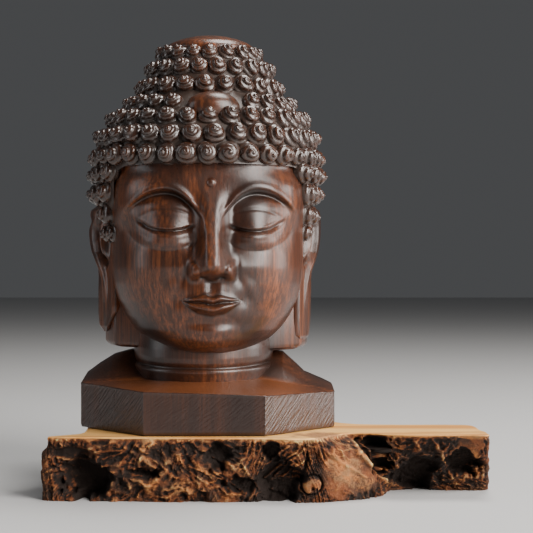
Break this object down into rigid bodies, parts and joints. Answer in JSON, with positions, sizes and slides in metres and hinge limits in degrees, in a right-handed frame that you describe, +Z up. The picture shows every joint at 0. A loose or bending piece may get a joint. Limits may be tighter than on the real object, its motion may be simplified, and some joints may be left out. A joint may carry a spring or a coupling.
{
  "type": "carved buddha head on a wood slab",
  "caption": "Carved wooden Buddha head with snail-shell curls, long ears and an octagonal foot, resting on a natural-edge slab of root wood.",
  "frame": {"origin": "centre of the whole object's footprint, on the slab's underside", "axes": "+Z up; -Y the way the statue's base faces, towards the viewer; +X to the viewer's right, where the slab runs out past the statue"},
  "size_m": [0.1656, 0.1006, 0.1733],
  "materials": {
    "carved_wood": "dark red-brown rosewood, oiled and polished to a satin gloss",
    "root_wood": "blond sanded top, rough dark natural edge"
  },
  "bodies": {
    "root": {"buddha_head": "carved_wood", "live_edge_slab": "root_wood"}
  },
  "joints": []
}
